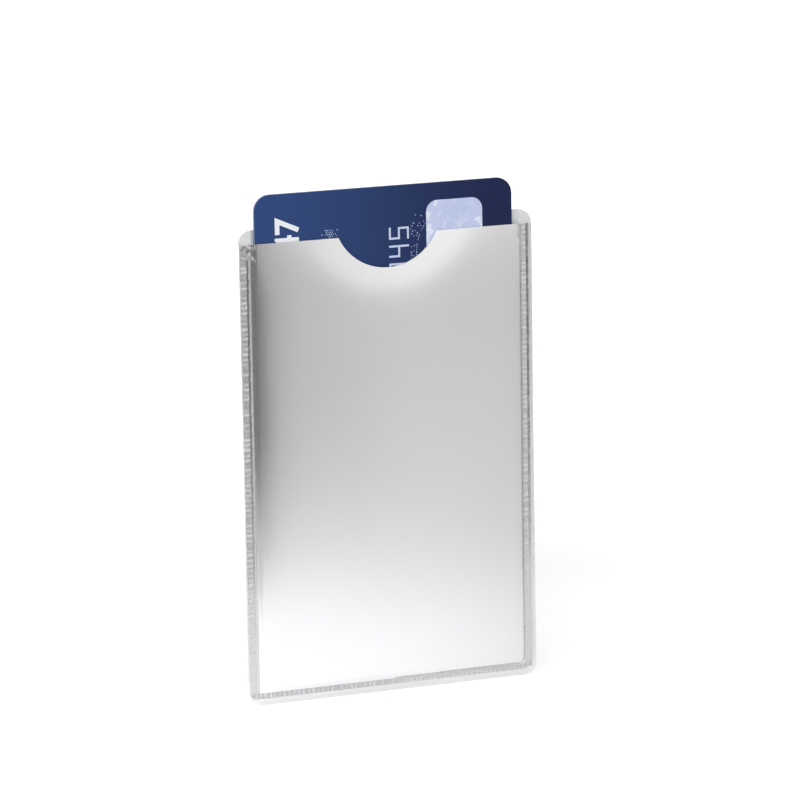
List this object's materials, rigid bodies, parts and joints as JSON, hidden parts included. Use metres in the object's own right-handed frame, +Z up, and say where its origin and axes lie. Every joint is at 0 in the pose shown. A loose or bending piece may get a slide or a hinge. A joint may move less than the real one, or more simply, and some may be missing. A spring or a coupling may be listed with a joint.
{
  "type": "shielded card sleeve",
  "caption": "Slim metallised-film pouch with a thumb notch and ladder-pattern welds, holding a contactless chip card that slides out of its mouth.",
  "frame": {"origin": "middle of the bottom edge, halfway through the thickness, on the surface that the sleeve stands on", "axes": "+Z up from the bottom weld to the mouth, +X to the right seen from the front, +Y to the back; the notched front sheet faces -Y"},
  "size_m": [0.0616, 0.0016, 0.1015],
  "materials": {
    "clear_film": "clear glossy film over foil",
    "shield_foil": "satin foil",
    "lining": "matt pale grey",
    "weld": "pressed, translucent, ribbed",
    "card_face": "glossy print under clear overlay",
    "card_core": "printed sheet",
    "card_inlay": "white sheet",
    "card_back": "glossy print under clear overlay",
    "antenna": "etched copper",
    "contact_gold": "gold plated",
    "chip_tape": "glass-cloth laminate",
    "chip_die": "silicon",
    "chip_resin": "cast black resin",
    "hologram": "pale blue embossed foil",
    "stripe": "smooth dark tape",
    "signature": "writable coating"
  },
  "bodies": {
    "sleeve": {"front_outer_film": "clear_film", "front_shield_foil": "shield_foil", "front_lining": "lining", "rear_outer_film": "clear_film", "rear_shield_foil": "shield_foil", "rear_lining": "lining", "left_weld_seam": "weld", "right_weld_seam": "weld", "bottom_weld_seam": "weld"},
    "card": {"card_front_overlay": "card_face", "card_front_core": "card_core", "card_antenna_inlay": "card_inlay", "card_rear_core": "card_core", "card_rear_overlay": "card_back", "antenna_coil": "antenna", "antenna_bridge": "antenna", "chip_contacts": "contact_gold", "chip_tape": "chip_tape", "chip_die": "chip_die", "chip_resin": "chip_resin", "hologram_patch": "hologram", "magnetic_stripe": "stripe", "signature_panel": "signature"}
  },
  "joints": [
    {"name": "card_slide", "type": "slide", "parent": "sleeve", "child": "card", "axis": [0, 0, 1], "range_m": [-0.0126, 0.076]}
  ]
}
